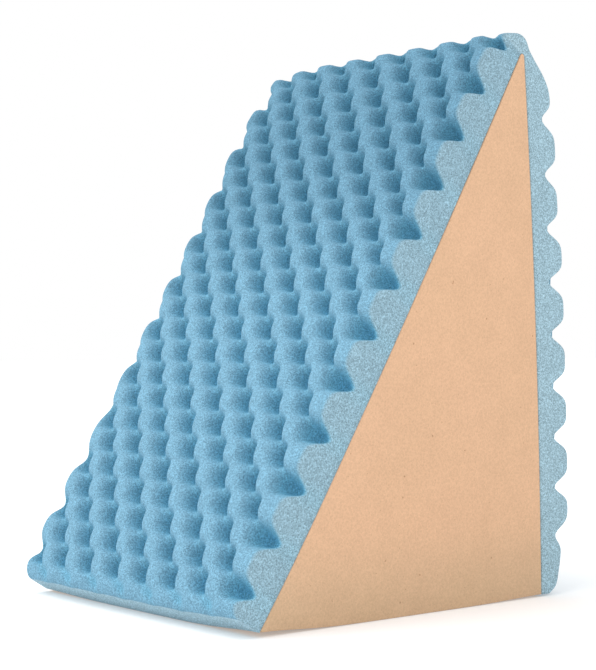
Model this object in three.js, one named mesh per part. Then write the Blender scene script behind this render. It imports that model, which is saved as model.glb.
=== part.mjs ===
// Wedge pillow: a smooth-cut foam wedge under one convoluted foam sheet, which lies on the slope,
// bends round the top edge and covers the upright back. Millimetres, +Z up, toe towards -Y.
import * as THREE from "three";

// core
const coreHeight = 508;
const coreDepth = 335;
const width = 326;
const tipRadius = 2.5;
const leanAtTop = 24;
const leanBend = 0.69;
const coreSteps = 12;
const tipSteps = 6;

// convoluted sheet: rows run along X and are numbered from the toe, columns run up the slope
// and are numbered from the +X end; a pit lies where row and column are both even or both odd
const seatGap = 0.3;
const columnPitch = 21.75;
const firstRow = 25.1;
const rowPitch = 24.65;
const rowGrowth = 0.062;
const lastSlopeRow = 16;
const samplesPerRow = 2;

// distance of a column from the +X cut, in column pitches: the first pits are drawn out towards the
// cut, more so low on the slope than high up, and the ridge lies furthest towards the cut
const columnPlaces = [
  { column: -0.24, low: 0, high: 0, ridge: 0 },
  { column: 0, low: 0.75, high: 0.65, ridge: 0.35 },
  { column: 0.5, low: 1.22, high: 0.98, ridge: 0.66 },
  { column: 1, low: 1.7, high: 1.32, ridge: 0.98 },
  { column: 1.5, low: 2.17, high: 1.8, ridge: 1.45 },
  { column: 2, low: 2.66, high: 2.28, ridge: 1.93 },
  { column: 3, low: 3.62, high: 3.25, ridge: 2.9 },
  { column: 16, low: 16.5, high: 16.25, ridge: 15.95 },
];
const lowRow = 2;
const highRow = 11;
const upperRow = 17;
const ridgeRow = 22;
const lastWholeColumn = 14;

// sheet thickness on the slope: the mean, and how far bumps and pits leave it; a fullness above 1
// makes the bumps broad and the pits narrow
const slopeMean = 27.6;
const slopeSwell = 12.3;
const fullness = 2;
const neutralDepth = 10;

// upright back: rows counted from the first bump under the top edge
const firstBackRow = 25;
const firstBackHeight = 469.3;
const backPitch = 25.79;
const backGrowth = 0.0818;

// rows from the upper slope over the squeezed top edge and down the back, where the last bumps are
// pinched towards the floor; along is a length from the toe, given where the back's formula isn't used
const upperRows = [
  { row: 16, along: 435.4, mean: 27.6, swell: 12.3 },
  { row: 18, along: 488.9, mean: 28.7, swell: 12.2 },
  { row: 20, along: 541.5, mean: 29, swell: 11.5 },
  { row: 21, along: 568, mean: 28, swell: 11 },
  { row: 22, along: 593, mean: 25.5, swell: 8 },
  { row: 23, along: 608.1, mean: 16.6, swell: 2.5 },
  { row: 24, along: 626.4, mean: 12.5, swell: 3 },
  { row: 25, along: 662.9, mean: 24.1, swell: 8.1 },
  { row: 27, mean: 28.7, swell: 8.2 },
  { row: 29, mean: 27.9, swell: 9 },
  { row: 31, mean: 29.7, swell: 10.5 },
  { row: 39, mean: 29.7, swell: 10 },
  { row: 41, mean: 27.9, swell: 7.7 },
  { row: 42, mean: 25.7, swell: 5.5 },
  { row: 43, mean: 24.4, swell: 2.7 },
];

// the end of the sheet on the floor
const hem = [
  { height: 18, thickness: 24.4 },
  { height: 6, thickness: 19.8 },
  { height: 0, thickness: 10.2 },
];

// unbent profile: a straight slope, a small arc round the tip and a straight back
const slopeAngle = Math.atan2(coreHeight, coreDepth);
const halfTip = (Math.PI / 2 - slopeAngle) / 2;
const tipCut = tipRadius / Math.tan(halfTip);
const slopeLength = Math.hypot(coreHeight, coreDepth) - tipCut;
const backLength = coreHeight - tipCut;
const slopeNormal = new THREE.Vector2(-Math.sin(slopeAngle), Math.cos(slopeAngle));
const turn = Math.PI / 2 + slopeAngle;
const arcLength = (tipRadius + neutralDepth) * turn;
const tipCentre = new THREE.Vector2(coreDepth - tipRadius, backLength);

// the core's upper half leans towards the toe
function lean(point) {
  const rise = point.y / coreHeight;
  const shift = leanAtTop * rise * (1 - leanBend + leanBend * rise);
  return new THREE.Vector2(point.x - shift, point.y);
}

// a point at a length from the toe along the sheet, lifted off the core's unbent profile
function profilePoint(along, lift) {
  let base = new THREE.Vector2(Math.cos(slopeAngle), Math.sin(slopeAngle)).multiplyScalar(along);
  let normal = slopeNormal.clone();
  const past = along - slopeLength;
  if (past > arcLength) {
    base = new THREE.Vector2(coreDepth, backLength - (past - arcLength));
    normal = new THREE.Vector2(1, 0);
  } else if (past > 0) {
    const angle = turn - past / (tipRadius + neutralDepth);
    normal = new THREE.Vector2(Math.cos(angle), Math.sin(angle));
    base = tipCentre.clone().addScaledVector(normal, tipRadius);
  }
  return lean(base.addScaledVector(normal, lift));
}

function backAlong(height) {
  return slopeLength + arcLength + backLength - height;
}

// a row's length from the toe on the slope, round the top edge or down the back
function rowAlong(row) {
  if (row <= lastSlopeRow) {
    return firstRow + row * (rowPitch + row * rowGrowth);
  }
  if (row >= firstBackRow) {
    const down = row - firstBackRow;
    return backAlong(firstBackHeight - down * (backPitch - down * backGrowth));
  }
  return tableValue(upperRows, "row", row, "along");
}

// a value between the entries of a table with rising keys
function tableValue(table, key, at, name) {
  const next = Math.max(1, table.findIndex((entry) => entry[key] >= at));
  const before = table[next - 1];
  const after = table[next];
  return THREE.MathUtils.mapLinear(at, before[key], after[key], before[name], after[name]);
}

// length, mean thickness and swell of the sheet at a row, which may be part of a row
function station(row) {
  if (row <= lastSlopeRow) {
    return { row, along: rowAlong(row), mean: slopeMean, swell: slopeSwell };
  }
  const mean = tableValue(upperRows, "row", row, "mean");
  const swell = tableValue(upperRows, "row", row, "swell");
  return { row, along: rowAlong(row), mean, swell };
}

// the columns' places at a row
function placesAt(row) {
  const rise = THREE.MathUtils.smoothstep(row, lowRow, highRow);
  const top = THREE.MathUtils.smoothstep(row, upperRow, ridgeRow);
  return columnPlaces.map(({ column, low, high, ridge }) => {
    const place = low + rise * (high - low) + top * (ridge - high);
    return { column, distance: columnPitch * place };
  });
}

function stationList() {
  const toeRow = (Math.sqrt(rowPitch * rowPitch - 4 * rowGrowth * firstRow) - rowPitch) / (2 * rowGrowth);
  const list = [{ ...station(toeRow), along: 0 }];
  const lastRow = upperRows[upperRows.length - 1].row;
  for (let step = -samplesPerRow; step <= lastRow * samplesPerRow; step += 1) {
    list.push(station(step / samplesPerRow));
  }
  for (const end of hem) {
    list.push({ row: lastRow, along: backAlong(end.height), mean: end.thickness, swell: 0 });
  }
  return list;
}

// the columns at a row from the +X cut to the -X cut, each with its distance from the +X cut
function columnList(row) {
  const places = placesAt(row);
  const farColumn = tableValue(places, "distance", width, "column");
  const columns = [places[0].column];
  for (let step = 0; step <= lastWholeColumn * samplesPerRow; step += 1) {
    columns.push(step / samplesPerRow);
  }
  columns.push((lastWholeColumn + farColumn) / 2, farColumn);
  return columns.map((column) => ({
    column,
    distance: tableValue(places, "column", column, "distance"),
  }));
}

function thicknessAt(place, column) {
  const wave = -Math.cos(Math.PI * column) * Math.cos(Math.PI * place.row);
  return place.mean + place.swell * (1 - 2 * ((1 - wave) / 2) ** fullness);
}

// one closed ring of the sheet: its outer face from the +X cut to the -X cut, then its seat
function sheetRing(place) {
  const ring = columnList(place.row).map(({ column, distance }) => {
    const outer = profilePoint(place.along, seatGap + thicknessAt(place, column));
    return new THREE.Vector3(width / 2 - distance, outer.x, outer.y);
  });
  const seat = profilePoint(place.along, seatGap);
  ring.push(new THREE.Vector3(-width / 2, seat.x, seat.y));
  ring.push(new THREE.Vector3(width / 2, seat.x, seat.y));
  return ring;
}

// triangles of a flat end, numbered round the ring and wound counter-clockwise from the toe side
function endTriangles(place) {
  const contour = columnList(place.row).map(({ column, distance }) => {
    return new THREE.Vector2(width / 2 - distance, thicknessAt(place, column));
  });
  contour.push(new THREE.Vector2(-width / 2, 0));
  contour.push(new THREE.Vector2(width / 2, 0));
  return THREE.ShapeUtils.triangulateShape(contour, []).map(([a, b, c]) => {
    const edge = contour[b].clone().sub(contour[a]);
    const isLeft = edge.cross(contour[c].clone().sub(contour[a])) > 0;
    return isLeft ? [a, b, c] : [a, c, b];
  });
}

// the diagonals of the quads meet on every bump and pit, so each is an even eight-sided hill
function topperGeometry() {
  const stations = stationList();
  const rings = stations.map((place) => sheetRing(place));
  const count = rings[0].length;
  const positions = rings.flat().flatMap((point) => [point.x, point.y, Math.max(point.z, 0)]);
  const indices = [];
  for (let i = 0; i + 1 < rings.length; i += 1) {
    for (let j = 0; j < count; j += 1) {
      const here = i * count + j;
      const beside = i * count + ((j + 1) % count);
      if ((i + j) % 2 === 0) {
        indices.push(here, here + count, beside + count);
        indices.push(here, beside + count, beside);
      } else {
        indices.push(here, here + count, beside);
        indices.push(beside, here + count, beside + count);
      }
    }
  }
  const end = rings.length - 1;
  for (const [a, b, c] of endTriangles(stations[0])) {
    indices.push(a, b, c);
  }
  for (const [a, b, c] of endTriangles(stations[end])) {
    indices.push(end * count + a, end * count + c, end * count + b);
  }
  const geometry = new THREE.BufferGeometry();
  geometry.setAttribute("position", new THREE.Float32BufferAttribute(positions, 3));
  geometry.setIndex(indices);
  geometry.computeVertexNormals();
  return geometry;
}

// the core's profile, extruded along X
function coreGeometry() {
  const outline = [];
  for (let i = 0; i <= coreSteps; i += 1) {
    outline.push(profilePoint((slopeLength * i) / coreSteps, 0));
  }
  for (let i = 1; i < tipSteps; i += 1) {
    outline.push(profilePoint(slopeLength + (arcLength * i) / tipSteps, 0));
  }
  for (let i = 0; i <= coreSteps; i += 1) {
    outline.push(profilePoint(slopeLength + arcLength + (backLength * i) / coreSteps, 0));
  }
  const geometry = new THREE.ExtrudeGeometry(new THREE.Shape(outline), {
    depth: width,
    bevelEnabled: false,
  });
  const alongX = new THREE.Matrix4().makeBasis(
    new THREE.Vector3(0, 1, 0),
    new THREE.Vector3(0, 0, 1),
    new THREE.Vector3(1, 0, 0),
  );
  geometry.applyMatrix4(alongX);
  geometry.translate(-width / 2, 0, 0);
  return geometry;
}

function piece(name, geometry, colour, roughness) {
  const material = new THREE.MeshStandardMaterial({ color: colour, roughness, metalness: 0 });
  const mesh = new THREE.Mesh(geometry, material);
  mesh.name = name;
  return mesh;
}

const pillow = new THREE.Group();
pillow.add(piece("core", coreGeometry(), 0xe4bc96, 0.95));
pillow.add(piece("topper", topperGeometry(), 0x8fc0da, 0.95));

// origin at the middle of the box's bottom
const box = new THREE.Box3().setFromObject(pillow);
const middle = box.getCenter(new THREE.Vector3());
pillow.position.set(-middle.x, -middle.y, -box.min.z);
pillow.updateMatrixWorld(true);

export default pillow;
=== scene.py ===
import math

import bpy
import numpy as np
from mathutils import Matrix, Vector


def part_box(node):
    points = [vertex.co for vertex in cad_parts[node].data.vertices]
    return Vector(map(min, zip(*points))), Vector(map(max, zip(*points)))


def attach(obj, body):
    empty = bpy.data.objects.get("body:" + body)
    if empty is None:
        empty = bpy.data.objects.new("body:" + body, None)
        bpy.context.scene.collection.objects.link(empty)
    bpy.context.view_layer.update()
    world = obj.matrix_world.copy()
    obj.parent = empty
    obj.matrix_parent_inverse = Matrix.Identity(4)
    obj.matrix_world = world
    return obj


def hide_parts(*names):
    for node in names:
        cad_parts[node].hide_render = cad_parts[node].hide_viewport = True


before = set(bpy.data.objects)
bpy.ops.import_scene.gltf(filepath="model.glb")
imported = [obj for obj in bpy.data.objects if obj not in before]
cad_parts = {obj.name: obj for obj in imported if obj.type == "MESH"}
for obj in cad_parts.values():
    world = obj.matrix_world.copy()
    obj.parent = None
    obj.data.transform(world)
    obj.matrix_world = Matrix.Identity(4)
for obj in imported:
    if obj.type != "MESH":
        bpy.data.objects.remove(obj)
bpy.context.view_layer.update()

core_low, core_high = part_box("core")
NEAR_X = core_high[0]
FAR_X = core_low[0]
TOE_Y = core_low[1]
CORE_DEPTH = core_high[1] - core_low[1]
MM = 0.001

# core profile, before it is bent by the lean
CORE_HEIGHT = 0.508
TIP_RADIUS = 2.5 * MM
LEAN_AT_TOP = 24 * MM
LEAN_BEND = 0.69

# convoluted sheet: rows count from the toe up the slope, over the ridge and down the back, and
# columns count from the +X cut; a pit lies where row and column are both even or both odd
COLUMN_PITCH = 21.75 * MM
FIRST_ROW = 24.9 * MM
ROW_PITCH = 24.65 * MM
ROW_GROWTH = 0.062 * MM
LAST_SLOPE_ROW = 20
BACK_ROW = 25
BACK_HEIGHT = 467.7 * MM
BACK_PITCH = 25.79 * MM
BACK_GROWTH = 0.0818 * MM
LOWEST_ROW = -2
HIGHEST_ROW = 45
# how deep in the sheet its length round the tip is measured
NEUTRAL_DEPTH = 10 * MM

# the glue line opens a little on the upper slope, from one share of its length and over another
SEAT_GAP = 0.3 * MM
LIFTED_GAP = 1.1 * MM
GAP_OPENS_FROM = 0.45
GAP_OPENS_OVER = 0.4

# column, then its distance from the +X cut in column pitches, low and high on the slope and at the
# ridge: the first pits are drawn out towards the cut, and the ridge lies furthest towards it
COLUMN_PLACES = (
    (-0.24, 0.0, 0.0, 0.0),
    (0, 0.75, 0.65, 0.35),
    (0.5, 1.22, 0.98, 0.66),
    (1, 1.70, 1.32, 0.98),
    (1.5, 2.17, 1.80, 1.45),
    (2, 2.66, 2.28, 1.93),
    (3, 3.62, 3.25, 2.90),
    (16, 16.5, 16.25, 15.95),
)
LOW_ROW = 2
HIGH_ROW = 11
UPPER_ROW = 17
RIDGE_ROW = 22

# row: length from the toe (None where a formula gives it), mean thickness and swell, in millimetres
ROW_TABLE = (
    (-2, None, 32.0, 0.0),
    (-1, None, 31.5, 1.0),
    (-0.5, None, 28.5, 9.0),
    (0, None, 25.6, 13.9),
    (8, None, 25.6, 13.9),
    (16, None, 25.6, 13.9),
    (18, None, 26.7, 13.8),
    (20, 541.5, 26.6, 13.2),
    (21, 568.0, 25.4, 13.6),
    (22, 593.0, 23.8, 12.5),
    (23, 608.1, 16.4, 2.8),
    (24, 626.4, 12.0, 3.4),
    (25, 662.9, 22.8, 9.2),
    (27, None, 27.4, 9.3),
    (29, None, 26.4, 10.2),
    (31, None, 28.0, 11.9),
    (39, None, 28.1, 11.3),
    (41, None, 27.8, 10.8),
    (42, None, 24.8, 6.2),
    (43, None, 24.0, 3.1),
    (43.6, None, 23.9, 0.6),
    (44, None, 21.0, 0.0),
    (44.4, None, 9.0, 0.0),
)

# the bumps join into ribs along one diagonal of the lattice, which has this share of the wave;
# with a fullness above 1 the bumps are broad and the pits narrow
RIB_SHARE = 0.64
FULLNESS = 3.0

# on the slope the crests hang a little towards the toe, less so near its two ends
DROOP = 2 * MM
DROOP_FADE = 60 * MM

# the sheet's lower edge is rounded
TOE_RADIUS = 7 * MM

# the edge at the far cut is pressed down: all along, and more at the ridge and at the toe
EDGE_SQUEEZE = 2 * MM
RIDGE_SQUEEZE = 6 * MM
TOE_SQUEEZE = 2 * MM
TOE_SQUEEZE_ROW = -1
SQUEEZE_REACH = 40 * MM
SQUEEZE_ROWS = 2.0

# the real base is not dead flat: its corners stand a little off the floor
CORNER_LIFTS = (
    (NEAR_X, TOE_Y, 4.0 * MM),
    (FAR_X, TOE_Y, 1.6 * MM),
    (NEAR_X, TOE_Y + CORE_DEPTH, 1.8 * MM),
)
LIFT_REACH = 55 * MM
LIFT_HEIGHT = 60 * MM

# rounded edges of the cuts and of the core's toe
CUT_RADIUS = 2.2 * MM
CORE_EDGE_RADIUS = 1.2 * MM
TOE_BLUNT = 2.5 * MM

# mesh fineness of the sheet
STEPS_PER_ROW = 8
SEAT_STEPS = 30
COLUMNS_PER_SEAT_STEP = 4
CUT_FACE_STEPS = 8
ROUND_STEPS = 4
END_MARGIN = 1 * MM

# mesh fineness of the core
CORE_SLOPE_POINTS = 60
CORE_TIP_POINTS = 10
CORE_BACK_POINTS = 50
CORE_FLOOR_POINTS = 34
CORE_MIDDLE_RINGS = 16
CORE_RING_MARGIN = 10 * MM

# level camera: its place from the toe's +X corner in core heights, its heading, its focal length
# and the picture's long side in pixels, and its sensor in millimetres
CAMERA_FROM_TOE = (2.0733, -1.6462, 0.4786)
CAMERA_AZIMUTH = math.radians(50.24)
FOCAL_PIXELS = 1675.6
FRAME_LONG_SIDE = 670
SENSOR = 36.0

# painted light and shade on the sheet's skin, from pits to bumps: the deeper blue of light bounced round
# in the pits, painted shade on the flanks and the greyer colour of full light on the bumps
SKIN_PAINTED_LIGHT_STOPS = (
    (0.0, (0.135, 0.395, 0.555)),
    (0.55, (0.12, 0.325, 0.455)),
    (0.95, (0.157, 0.32, 0.435)),
)
# where bumps and pits differ less than this, the pits take more of the bumps' colour, so their painted
# light and shade is weaker
FULL_SWELL = 9 * MM
# painted shade: the skin is darker high up, between these heights
TOP_PAINTED_SHADE = (0.74, 0.78, 0.80)
TOP_PAINTED_SHADE_FROM = 0.24
TOP_PAINTED_SHADE_TO = 0.44
# the cut is a little bluer along the slope than down the back
CUT_COLOUR = (0.308, 0.454, 0.53)
SLOPE_CUT_PALENESS = 0.72

# the core's colour wanders between two tones, and has darker specks
CORE_COLOURS = ((0.675, 0.43, 0.27), (0.69, 0.437, 0.277))
CORE_PATCH_SCALE = 11.0
SPECK_COLOUR = (0.45, 0.26, 0.15)
SPECK_SCALE = 310.0
# painted shade: the core is darker and duller from the floor up to this height
BOTTOM_PAINTED_SHADE = (0.84, 0.91, 0.91)
BOTTOM_PAINTED_SHADE_TO = 0.09

# foam surface: most of a noise lies between these two, and pores are wider than the speckle
NOISE_LOW = 0.3
NOISE_HIGH = 0.7
PORE_SHARE = 0.55
MOTTLE_SCALE = 38.0
MOTTLE = 0.025
GRAIN_HEIGHT = 0.8 * MM
FOAM_SHEEN = 0.12

# light: a white room and one broad light from the upper left, its spread in degrees; the floor is a
# bright white sweep, a hair below the base
KEY_FROM = (-0.5, -0.6, 0.9)
KEY_STRENGTH = 2.2
KEY_SPREAD = 80
FLOOR_GLOW = 0.25
FLOOR_GREY = 0.75
FLOOR_ROUGHNESS = 0.9
FLOOR_HALF_SIDE = 12.0
FLOOR_DROP = 0.3 * MM


def profile_values():
    """The straight slope, the arc round the tip and the straight back, from the core's sizes."""
    angle = math.atan2(CORE_HEIGHT, CORE_DEPTH)
    cut = TIP_RADIUS / math.tan((math.pi / 2 - angle) / 2)
    slope = math.hypot(CORE_HEIGHT, CORE_DEPTH) - cut
    turn = math.pi / 2 + angle
    arc = (TIP_RADIUS + NEUTRAL_DEPTH) * turn
    return angle, slope, turn, arc, CORE_HEIGHT - cut


SLOPE_ANGLE, SLOPE_LENGTH, TURN, ARC_LENGTH, BACK_LENGTH = profile_values()
WHOLE_LENGTH = SLOPE_LENGTH + ARC_LENGTH + BACK_LENGTH


def profile(along):
    """Points (y, z) on the unbent core and outward normals at lengths from the toe."""
    along = np.asarray(along, float)
    points = np.stack([np.cos(SLOPE_ANGLE) * along, np.sin(SLOPE_ANGLE) * along], -1)
    normals = np.broadcast_to([-math.sin(SLOPE_ANGLE), math.cos(SLOPE_ANGLE)], points.shape).copy()
    past = along - SLOPE_LENGTH
    angle = TURN - np.clip(past, 0, ARC_LENGTH) / (TIP_RADIUS + NEUTRAL_DEPTH)
    round_normals = np.stack([np.cos(angle), np.sin(angle)], -1)
    tip_centre = np.array([CORE_DEPTH - TIP_RADIUS, BACK_LENGTH])
    on_arc = past > 0
    normals[on_arc] = round_normals[on_arc]
    points[on_arc] = tip_centre + TIP_RADIUS * round_normals[on_arc]
    on_back = past > ARC_LENGTH
    normals[on_back] = (1.0, 0.0)
    points[on_back] = np.stack([np.full_like(along, CORE_DEPTH), WHOLE_LENGTH - along], -1)[on_back]
    return points, normals


def settle(x, y, z):
    """Profile space to the frame: the lean of the upper part and the lifted corners."""
    rise = z / CORE_HEIGHT
    y = y - LEAN_AT_TOP * rise * (1 - LEAN_BEND + LEAN_BEND * rise) + TOE_Y
    lift = np.zeros_like(y)
    for corner_x, corner_y, height in CORNER_LIFTS:
        away = np.hypot(x - corner_x, y - corner_y) / LIFT_REACH
        lift = lift + height * np.exp(-away * away)
    return np.stack([x, y, z + lift * np.exp(-np.maximum(z, 0) / LIFT_HEIGHT)], -1)


def smooth_curve(at, knots, values):
    """Cubic through the knots without overshoot."""
    knots = np.asarray(knots, float)
    values = np.asarray(values, float)
    width = np.diff(knots)
    slope = np.diff(values) / width
    tangent = np.zeros_like(values)
    same_sign = slope[:-1] * slope[1:] > 0
    inner = 2 * slope[:-1] * slope[1:] / np.where(same_sign, slope[:-1] + slope[1:], 1)
    tangent[1:-1] = np.where(same_sign, inner, 0)
    tangent[0] = slope[0]
    tangent[-1] = slope[-1]
    i = np.clip(np.searchsorted(knots, at) - 1, 0, len(width) - 1)
    t = (at - knots[i]) / width[i]
    start = (1 + 2 * t) * (1 - t) ** 2 * values[i] + t * (1 - t) ** 2 * width[i] * tangent[i]
    end = t * t * (3 - 2 * t) * values[i + 1] + t * t * (t - 1) * width[i] * tangent[i + 1]
    return start + end


def smooth_share(value, low, high):
    """From 0 at low to 1 at high, with soft ends."""
    share = min(max((value - low) / (high - low), 0), 1)
    return share * share * (3 - 2 * share)


def row_along(row):
    """Length from the toe of a row on the slope or on the back."""
    if row <= LAST_SLOPE_ROW:
        return FIRST_ROW + row * (ROW_PITCH + row * ROW_GROWTH)
    down = row - BACK_ROW
    return WHOLE_LENGTH - (BACK_HEIGHT - down * (BACK_PITCH - down * BACK_GROWTH))


def row_stations():
    """Rows, lengths, mean thickness and swell at every ring of the sheet."""
    knots = range(LOWEST_ROW, HIGHEST_ROW + 1)
    given = {row: along * MM for row, along, _, _ in ROW_TABLE if along is not None}
    lengths = [given.get(row, row_along(row)) for row in knots]
    fine = np.arange(LOWEST_ROW, HIGHEST_ROW + 0.5, 1 / STEPS_PER_ROW)
    along = smooth_curve(fine, knots, lengths)
    inside = (along > TOE_RADIUS + END_MARGIN) & (along < WHOLE_LENGTH - END_MARGIN)
    toe = TOE_RADIUS * (1 - np.cos(np.linspace(0, math.pi / 2, ROUND_STEPS + 1)))
    toe_rows = np.interp(toe, along, fine)
    last_row = np.interp(WHOLE_LENGTH, along, fine)
    rows = np.concatenate([toe_rows, fine[inside], [last_row]])
    along = np.concatenate([toe, along[inside], [WHOLE_LENGTH]])
    table = np.array([[row, mean, swell] for row, _, mean, swell in ROW_TABLE])
    mean = smooth_curve(rows, table[:, 0], table[:, 1] * MM)
    swell = smooth_curve(rows, table[:, 0], table[:, 2] * MM)
    return rows, along, mean, swell


def columns_at(x, row):
    """Column numbers at x on a row, counted from the +X cut."""
    columns, low, high, ridge = np.array(COLUMN_PLACES).T
    places = low + (high - low) * smooth_share(row, LOW_ROW, HIGH_ROW)
    places = places + (ridge - high) * smooth_share(row, UPPER_ROW, RIDGE_ROW)
    return smooth_curve((NEAR_X - x) / COLUMN_PITCH, places, columns)


def bump_wave(rows, x):
    """From -1 in a pit to 1 on a bump."""
    columns = np.array([columns_at(x, row) for row in rows[:, 0]])
    ribs = -np.cos(np.pi * (columns - rows))
    across = -np.cos(np.pi * (columns + rows))
    wave = RIB_SHARE * ribs + (1 - RIB_SHARE) * across
    return 1 - 2 * ((1 - wave) / 2) ** FULLNESS


def far_squeeze(rows, x):
    """How far the outer face is pressed down near the far cut."""
    from_far = np.exp(-((x - FAR_X) / SQUEEZE_REACH) ** 2)
    ridge = RIDGE_SQUEEZE * np.exp(-((rows - RIDGE_ROW) / SQUEEZE_ROWS) ** 2)
    toe = TOE_SQUEEZE * np.exp(-((rows - TOE_SQUEEZE_ROW) / SQUEEZE_ROWS) ** 2)
    return from_far * (EDGE_SQUEEZE + ridge + toe)


def toe_rounding(along):
    """How far the outer face falls back at the rounded lower edge."""
    before = np.clip(1 - along / TOE_RADIUS, 0, 1)
    return TOE_RADIUS * (1 - np.sqrt(1 - before ** 2))


def glue_gap(along):
    """The gap between core and sheet."""
    opened = np.clip((along / SLOPE_LENGTH - GAP_OPENS_FROM) / GAP_OPENS_OVER, 0, 1)
    gap = SEAT_GAP + (LIFTED_GAP - SEAT_GAP) * opened
    return np.where(along > SLOPE_LENGTH, SEAT_GAP, gap)


def crest_droop(along, height):
    """How far a point hangs towards the toe; its height is a share of the full crest's."""
    hang = np.clip(along / DROOP_FADE, 0, 1) * np.clip((SLOPE_LENGTH - along) / DROOP_FADE, 0, 1)
    return DROOP * hang * height * height


def mesh_object(name, points, faces, smooth=True):
    """A new mesh in the scene."""
    mesh = bpy.data.meshes.new(name)
    mesh.from_pydata(np.asarray(points).tolist(), [], faces)
    mesh.update()
    for polygon in mesh.polygons:
        polygon.use_smooth = smooth
    piece = bpy.data.objects.new(name, mesh)
    bpy.context.scene.collection.objects.link(piece)
    return piece


def store_value(piece, name, domain, values):
    """Keeps one number for each point or face, for the material to read."""
    layer = piece.data.attributes.new(name, "FLOAT", domain)
    layer.data.foreach_set("value", values.astype(np.float32))


def ring_faces(rings, count):
    """Quads between closed rings of points."""
    faces = []
    for i in range(rings - 1):
        for j in range(count):
            here = i * count + j
            beside = i * count + (j + 1) % count
            faces.append((here, here + count, beside + count, beside))
    return faces


def end_cap(ring_start, count, outer, side):
    """Faces that close an end of the sheet, each from its outer edge to its seat."""
    faces = []
    seat_end = outer + side + SEAT_STEPS - 1
    for step in range(SEAT_STEPS):
        first = step * COLUMNS_PER_SEAT_STEP
        face = list(range(first, first + COLUMNS_PER_SEAT_STEP + 1))
        if step == SEAT_STEPS - 1:
            face += range(outer, outer + side - 1)
        face += [seat_end - step - 1, seat_end - step]
        if step == 0:
            face += range(seat_end + 1, count)
        faces.append([ring_start + index for index in face])
    return faces


def cut_side(edge, x, sign):
    """Lift and x of the rounded edge and the cut face, from the outer face down to the seat."""
    quarter = np.linspace(0, math.pi / 2, ROUND_STEPS + 1)[1:]
    lifts = [edge - CUT_RADIUS * (1 - math.cos(angle)) for angle in quarter]
    xs = [np.full_like(edge, x + sign * CUT_RADIUS * math.sin(angle)) for angle in quarter]
    for step in range(1, CUT_FACE_STEPS + 1):
        lifts.append((edge - CUT_RADIUS) * (1 - step / CUT_FACE_STEPS))
        xs.append(np.full_like(edge, x + sign * CUT_RADIUS))
    return np.concatenate(lifts, 1), np.concatenate(xs, 1)


def cut_shares(along, outer, count):
    """For each face between the rings, from 0 on the skin to 1 on the cuts and the seat."""
    around = np.zeros(count)
    rounding = np.arange(1, ROUND_STEPS + 1) / ROUND_STEPS
    around[outer - 1:outer - 1 + ROUND_STEPS] = rounding
    around[outer - 1 + ROUND_STEPS:-ROUND_STEPS] = 1
    around[-ROUND_STEPS:] = rounding[::-1]
    paleness = np.where(along[:-1] < SLOPE_LENGTH, SLOPE_CUT_PALENESS, 1)
    return (around * paleness).ravel()


def sheet_rings():
    """Length, lift off the seat, x, relief and full height at each ring, all round the sheet."""
    rows, along, mean, swell = [value[:, None] for value in row_stations()]
    outer_count = SEAT_STEPS * COLUMNS_PER_SEAT_STEP + 1
    outer_x = np.linspace(NEAR_X - CUT_RADIUS, FAR_X + CUT_RADIUS, outer_count)
    wave = bump_wave(rows, outer_x)
    outer = mean + swell * wave - far_squeeze(rows, outer_x) - toe_rounding(along)
    far_lift, far_x = cut_side(outer[:, -1:], outer_x[-1], -1)
    near_lift, near_x = cut_side(outer[:, :1], outer_x[0], 1)
    seat_x = np.linspace(FAR_X, NEAR_X, SEAT_STEPS + 1)[None, 1:-1] * np.ones_like(rows)
    relief = 1 - (0.5 - 0.5 * wave) * np.minimum(swell / FULL_SWELL, 1)
    lift = np.concatenate([outer, far_lift, np.zeros_like(seat_x), near_lift[:, ::-1]], 1)
    x = np.concatenate([outer_x[None, :] * np.ones_like(rows), far_x, seat_x, near_x[:, ::-1]], 1)
    relief_round = np.concatenate([
        relief,
        relief[:, -1:] * np.ones_like(far_x),
        0.5 * np.ones_like(seat_x),
        relief[:, :1] * np.ones_like(near_x),
    ], 1)
    return along, lift, x, relief_round, mean + swell


def make_topper():
    """The sheet: its bumpy outer face, two rounded cuts, a seat on the core and two closed ends."""
    along, lift, x, relief, full = sheet_rings()
    height = np.clip(lift / full, 0, 1)
    base, normal = profile(along - crest_droop(along, height))
    out = lift + glue_gap(along)
    y = base[..., 0] + normal[..., 0] * out
    z = base[..., 1] + normal[..., 1] * out
    points = settle(x, y, np.maximum(z, 0))
    rings, count = x.shape
    outer = SEAT_STEPS * COLUMNS_PER_SEAT_STEP + 1
    side = ROUND_STEPS + CUT_FACE_STEPS
    faces = ring_faces(rings, count)
    skin = len(faces)
    faces += end_cap(0, count, outer, side)
    faces += [face[::-1] for face in end_cap((rings - 1) * count, count, outer, side)]
    piece = mesh_object("topper_foam", points.reshape(-1, 3), faces)
    # the relief steers the painted light and shade of the skin
    store_value(piece, "relief", "POINT", relief.reshape(-1))
    ends = np.ones(len(faces) - skin)
    store_value(piece, "cut", "FACE", np.concatenate([cut_shares(along, outer, count), ends]))
    for polygon in piece.data.polygons[skin:]:
        polygon.use_smooth = False
    return piece


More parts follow.
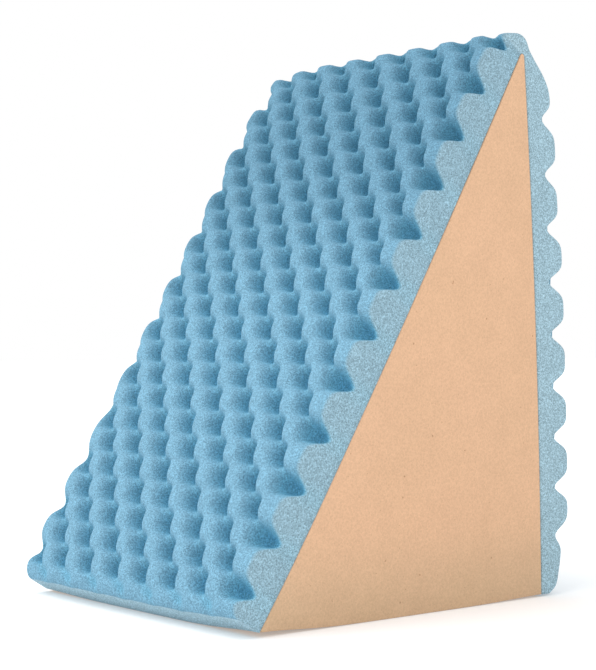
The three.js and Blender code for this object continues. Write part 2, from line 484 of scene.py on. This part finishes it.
def core_section():
    """Points and outward normals round the wedge, from the toe over the tip and along the floor."""
    along = np.concatenate([
        np.linspace(TOE_BLUNT, SLOPE_LENGTH, CORE_SLOPE_POINTS),
        SLOPE_LENGTH + np.linspace(0, ARC_LENGTH, CORE_TIP_POINTS)[1:-1],
        SLOPE_LENGTH + ARC_LENGTH + np.linspace(0, BACK_LENGTH, CORE_BACK_POINTS),
    ])
    points, normals = profile(along)
    floor_run = np.linspace(CORE_DEPTH, TOE_BLUNT, CORE_FLOOR_POINTS)[1:]
    points = np.concatenate([points, np.stack([floor_run, np.zeros_like(floor_run)], -1)])
    normals = np.concatenate([normals, np.tile([0.0, -1.0], (len(floor_run), 1))])
    heel = len(along) - 1
    toe_turn = (math.pi / 2 - SLOPE_ANGLE) / 2
    normals[0] = (-math.cos(toe_turn), -math.sin(toe_turn))
    normals[heel] = (math.sqrt(0.5), -math.sqrt(0.5))
    return points, normals


def make_core():
    """The wedge with softly rounded edges all round both cuts."""
    points, normals = core_section()
    quarter = np.linspace(0, math.pi / 2, ROUND_STEPS + 1)
    insets = CORE_EDGE_RADIUS * (1 - np.sin(quarter))
    steps = CORE_EDGE_RADIUS * (1 - np.cos(quarter))
    middle = np.linspace(NEAR_X - CORE_RING_MARGIN, FAR_X + CORE_RING_MARGIN, CORE_MIDDLE_RINGS)
    xs = np.concatenate([NEAR_X - steps, middle, (FAR_X + steps)[::-1]])
    depths = np.concatenate([insets, np.zeros_like(middle), insets[::-1]])
    rings = []
    for x, depth in zip(xs, depths):
        at = points - normals * depth
        rings.append(settle(np.full(len(at), x), at[:, 0], at[:, 1]))
    count = len(points)
    faces = ring_faces(len(rings), count)
    faces.append(tuple(range(count)))
    faces.append(tuple(reversed(range((len(rings) - 1) * count, len(rings) * count))))
    return mesh_object("core_foam", np.concatenate(rings), faces)


class Nodes:
    """Short forms for building a material's node tree."""

    def __init__(self, name):
        self.material = bpy.data.materials.new(name)
        self.material.use_nodes = True
        self.tree = self.material.node_tree
        self.shader = self.tree.nodes["Principled BSDF"]
        self.place = self.add("ShaderNodeTexCoord").outputs["Object"]

    def add(self, kind, **values):
        node = self.tree.nodes.new(kind)
        for key, value in values.items():
            setattr(node, key, value)
        return node

    def link(self, source, target):
        self.tree.links.new(source, target)

    def noise(self, scale, detail=2.0, roughness=0.5):
        node = self.add("ShaderNodeTexNoise")
        node.inputs["Scale"].default_value = scale
        node.inputs["Detail"].default_value = detail
        node.inputs["Roughness"].default_value = roughness
        self.link(self.place, node.inputs["Vector"])
        return node.outputs["Fac"]

    def cells(self, scale):
        node = self.add("ShaderNodeTexVoronoi", feature="F1")
        node.inputs["Scale"].default_value = scale
        self.link(self.place, node.inputs["Vector"])
        return node.outputs["Distance"]

    def stored(self, name):
        """A number that the mesh keeps for each point or face."""
        node = self.add("ShaderNodeAttribute", attribute_type="GEOMETRY", attribute_name=name)
        return node.outputs["Fac"]

    def spread(self, value, low, high, to_low=0.0, to_high=1.0, smooth=False):
        """A value between low and high, carried over to another range."""
        node = self.add("ShaderNodeMapRange", interpolation_type="SMOOTHSTEP" if smooth else "LINEAR")
        self.link(value, node.inputs["Value"])
        node.inputs["From Min"].default_value = low
        node.inputs["From Max"].default_value = high
        node.inputs["To Min"].default_value = to_low
        node.inputs["To Max"].default_value = to_high
        return node.outputs["Result"]

    def math(self, operation, first, second):
        node = self.add("ShaderNodeMath", operation=operation)
        for index, value in enumerate((first, second)):
            if isinstance(value, (int, float)):
                node.inputs[index].default_value = value
            else:
                self.link(value, node.inputs[index])
        return node.outputs["Value"]

    def height_share(self, low, high):
        """From 0 to 1 between two heights."""
        split = self.add("ShaderNodeSeparateXYZ")
        self.link(self.place, split.inputs["Vector"])
        return self.spread(split.outputs["Z"], low, high, smooth=True)

    def mix(self, share, first, second, blend="MIX"):
        node = self.add("ShaderNodeMix", data_type="RGBA", blend_type=blend)
        colours = [socket for socket in node.inputs if socket.type == "RGBA"]
        for socket, value in ((node.inputs["Factor"], share), (colours[0], first), (colours[1], second)):
            if isinstance(value, tuple):
                socket.default_value = (*value, 1.0)
            elif isinstance(value, (int, float)):
                socket.default_value = value
            else:
                self.link(value, socket)
        return [socket for socket in node.outputs if socket.type == "RGBA"][0]


def foam_grain(nodes, colour, strength, fine, bump):
    """Open cells: a fine speckle in the colour and in the bump, and a slow mottling."""
    speckle = nodes.noise(fine, detail=3.0, roughness=0.75)
    pores = nodes.cells(fine * PORE_SHARE)
    grain = nodes.spread(speckle, NOISE_LOW, NOISE_HIGH, 1 - strength, 1 + strength)
    holes = nodes.spread(pores, 0.1, 0.75, 1 - 0.6 * strength, 1 + 0.4 * strength)
    slow = nodes.noise(MOTTLE_SCALE, detail=3.0)
    mottle = nodes.spread(slow, NOISE_LOW, NOISE_HIGH, 1 - MOTTLE, 1 + MOTTLE)
    level = nodes.math("MULTIPLY", nodes.math("MULTIPLY", grain, holes), mottle)
    grey = nodes.add("ShaderNodeCombineColor")
    for channel in ("Red", "Green", "Blue"):
        nodes.link(level, grey.inputs[channel])
    grained = nodes.mix(1.0, colour, grey.outputs["Color"], "MULTIPLY")
    nodes.link(grained, nodes.shader.inputs["Base Color"])
    height = nodes.math("ADD", nodes.math("MULTIPLY", speckle, 0.7), nodes.math("MULTIPLY", pores, 0.5))
    relief = nodes.add("ShaderNodeBump")
    relief.inputs["Strength"].default_value = bump
    relief.inputs["Distance"].default_value = GRAIN_HEIGHT
    nodes.link(height, relief.inputs["Height"])
    nodes.link(relief.outputs["Normal"], nodes.shader.inputs["Normal"])
    roughness = nodes.spread(speckle, NOISE_LOW, NOISE_HIGH, 0.88, 1.0)
    nodes.link(roughness, nodes.shader.inputs["Roughness"])
    nodes.shader.inputs["Specular IOR Level"].default_value = FOAM_SHEEN


def sheet_foam():
    """Painted light and shade on the skin: bluer in the pits, greyer on the bumps, with painted shade
    high up; palest on the two cut faces.
    """
    nodes = Nodes("sheet_foam")
    relief = nodes.stored("relief")
    # the skin's colour follows the relief: painted light and shade of the pits, flanks and bumps
    painted_light_ramp = nodes.add("ShaderNodeValToRGB")
    for _ in range(len(SKIN_PAINTED_LIGHT_STOPS) - 2):
        painted_light_ramp.color_ramp.elements.new(0.5)
    for element, (position, colour) in zip(painted_light_ramp.color_ramp.elements, SKIN_PAINTED_LIGHT_STOPS):
        element.position = position
        element.color = (*colour, 1)
    nodes.link(relief, painted_light_ramp.inputs["Fac"])
    cut = nodes.stored("cut")
    # painted shade on the upper part of the skin
    shaded_high = nodes.mix(1.0, painted_light_ramp.outputs["Color"], TOP_PAINTED_SHADE, "MULTIPLY")
    skin = nodes.mix(nodes.height_share(TOP_PAINTED_SHADE_FROM, TOP_PAINTED_SHADE_TO), painted_light_ramp.outputs["Color"], shaded_high)
    colour = nodes.mix(cut, skin, CUT_COLOUR)
    foam_grain(nodes, colour, strength=0.50, fine=1150.0, bump=0.6)
    return nodes.material


def core_foam():
    """Smooth-cut foam, nearly even, with a few darker specks and painted shade near the floor."""
    nodes = Nodes("core_foam")
    patches = nodes.spread(nodes.noise(CORE_PATCH_SCALE), 0.35, 0.65)
    base = nodes.mix(patches, *CORE_COLOURS)
    specks = nodes.spread(nodes.noise(SPECK_SCALE, detail=0.0), 0.86, 0.9)
    speckled = nodes.mix(specks, base, SPECK_COLOUR)
    # painted shade low down, near the floor
    shaded_low = nodes.mix(1.0, speckled, BOTTOM_PAINTED_SHADE, "MULTIPLY")
    colour = nodes.mix(nodes.height_share(0.0, BOTTOM_PAINTED_SHADE_TO), shaded_low, speckled)
    foam_grain(nodes, colour, strength=0.10, fine=700.0, bump=0.3)
    return nodes.material


def plain_floor():
    """Bright matt paper."""
    nodes = Nodes("floor_paper")
    nodes.shader.inputs["Base Color"].default_value = (FLOOR_GREY, FLOOR_GREY, FLOOR_GREY, 1)
    nodes.shader.inputs["Roughness"].default_value = FLOOR_ROUGHNESS
    nodes.shader.inputs["Specular IOR Level"].default_value = 0.0
    nodes.shader.inputs["Emission Color"].default_value = (1, 1, 1, 1)
    nodes.shader.inputs["Emission Strength"].default_value = FLOOR_GLOW
    return nodes.material


def make_camera():
    data = bpy.data.cameras.new("camera")
    data.sensor_width = SENSOR
    data.lens = SENSOR * FOCAL_PIXELS / FRAME_LONG_SIDE
    data.clip_end = 100.0
    camera = bpy.data.objects.new("camera", data)
    bpy.context.scene.collection.objects.link(camera)
    right = Vector((math.cos(CAMERA_AZIMUTH), math.sin(CAMERA_AZIMUTH), 0))
    back = Vector((math.sin(CAMERA_AZIMUTH), -math.cos(CAMERA_AZIMUTH), 0))
    up = Vector((0, 0, 1))
    place = Vector(CAMERA_FROM_TOE) * CORE_HEIGHT + Vector((NEAR_X, TOE_Y, 0))
    camera.matrix_world = Matrix.Translation(place) @ Matrix((right, up, back)).transposed().to_4x4()
    bpy.context.scene.camera = camera


def soft_sun(direction, strength, spread):
    """A broad, distant softbox."""
    data = bpy.data.lights.new("key", "SUN")
    data.energy = strength
    data.angle = math.radians(spread)
    light = bpy.data.objects.new("key", data)
    bpy.context.scene.collection.objects.link(light)
    light.rotation_euler = Vector(direction).to_track_quat("Z", "Y").to_euler()


def make_floor():
    side = FLOOR_HALF_SIDE
    corners = [(-side, -side, 0), (side, -side, 0), (side, side, 0), (-side, side, 0)]
    floor = mesh_object("floor", corners, [(0, 1, 2, 3)], smooth=False)
    floor.location.z = -FLOOR_DROP
    floor.data.materials.append(plain_floor())


def make_studio():
    """White surroundings, the key light and the floor."""
    world = bpy.data.worlds.new("studio")
    world.use_nodes = True
    sky = world.node_tree.nodes["Background"]
    sky.inputs["Color"].default_value = (1, 1, 1, 1)
    sky.inputs["Strength"].default_value = 1.0
    bpy.context.scene.world = world
    bpy.context.scene.view_settings.view_transform = "Standard"
    soft_sun(KEY_FROM, KEY_STRENGTH, KEY_SPREAD)
    make_floor()


def dress(piece, material, node):
    """Puts a piece in the place of its plain solid."""
    piece.data.materials.append(material)
    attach(piece, "root")
    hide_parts(node)


make_camera()
make_studio()
dress(make_core(), core_foam(), "core")
dress(make_topper(), sheet_foam(), "topper")
